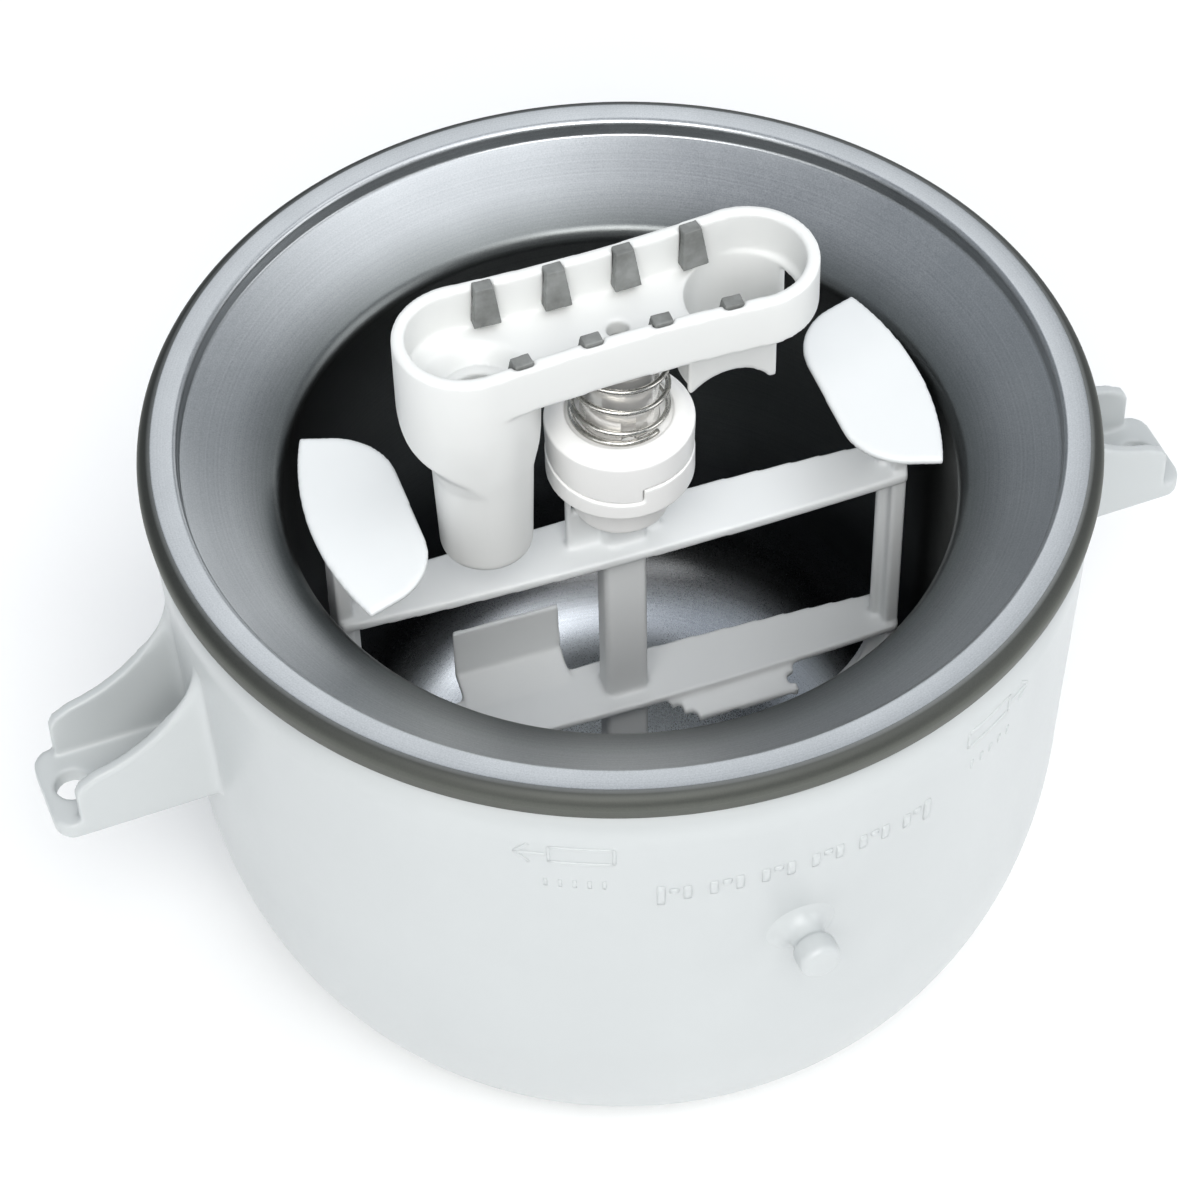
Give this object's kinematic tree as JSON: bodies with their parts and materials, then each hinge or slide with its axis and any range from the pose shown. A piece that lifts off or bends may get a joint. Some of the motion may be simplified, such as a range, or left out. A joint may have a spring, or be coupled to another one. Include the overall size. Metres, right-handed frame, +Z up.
{
  "type": "ice cream maker",
  "caption": "Freezer bowl with mixer-arm ears, a scraping dasher, and a spring-loaded clutch drive whose padded tray fits a stand mixer's head.",
  "frame": {"origin": "centre of the bowl's resting face, on the axis that the dasher turns about", "axes": "+Z up along the dasher's axis; +X towards one ear; -Y towards the latch pin"},
  "size_m": [0.305, 0.2414, 0.2115],
  "materials": {
    "shell_plastic": "moulded gloss white, slightly cool",
    "liner_aluminium": "fine-grained satin aluminium",
    "coolant": "sealed freezing liquid",
    "seal_rubber": "matte black seal",
    "plug_plastic": "matte white plug",
    "dasher_plastic": "satin white",
    "clutch_plastic": "satin-gloss white",
    "drive_plastic": "satin-gloss warm white",
    "pad_rubber": "matte grey rubber",
    "polished_steel": "polished",
    "screw_steel": "plated",
    "spring_steel": "bright drawn wire"
  },
  "bodies": {
    "bowl": {"outer_shell": "shell_plastic", "inner_liner": "liner_aluminium", "coolant_gel": "coolant", "rim_gasket": "seal_rubber", "fill_plug": "plug_plastic"},
    "dasher_unit": {"dasher": "dasher_plastic", "clutch_hub": "clutch_plastic"},
    "drive": {"drive_tray": "drive_plastic", "drive_shaft": "polished_steel", "shaft_screw": "screw_steel", "spring_washer": "screw_steel", "clutch_spring": "spring_steel", "retaining_ring": "screw_steel", "grip_pad_1": "pad_rubber", "grip_pad_2": "pad_rubber", "grip_pad_3": "pad_rubber", "grip_pad_4": "pad_rubber", "grip_pad_5": "pad_rubber", "grip_pad_6": "pad_rubber", "grip_pad_7": "pad_rubber", "grip_pad_8": "pad_rubber"},
    "collar": {"clutch_collar": "clutch_plastic"}
  },
  "joints": [
    {"name": "dasher_spin", "type": "hinge", "parent": "bowl", "child": "dasher_unit", "pos_m": [0, 0, 0], "axis": [0, 0, 1], "continuous": true},
    {"name": "drive_lift", "type": "slide", "parent": "dasher_unit", "child": "drive", "axis": [0, 0, 1], "range_m": [0, 0.08]},
    {"name": "clutch_travel", "type": "slide", "parent": "drive", "child": "collar", "axis": [0, 0, 1], "range_m": [0, 0.0045], "stiffness_N_per_m": 900, "springref_m": -0.003, "deforming": ["clutch_spring"]}
  ]
}
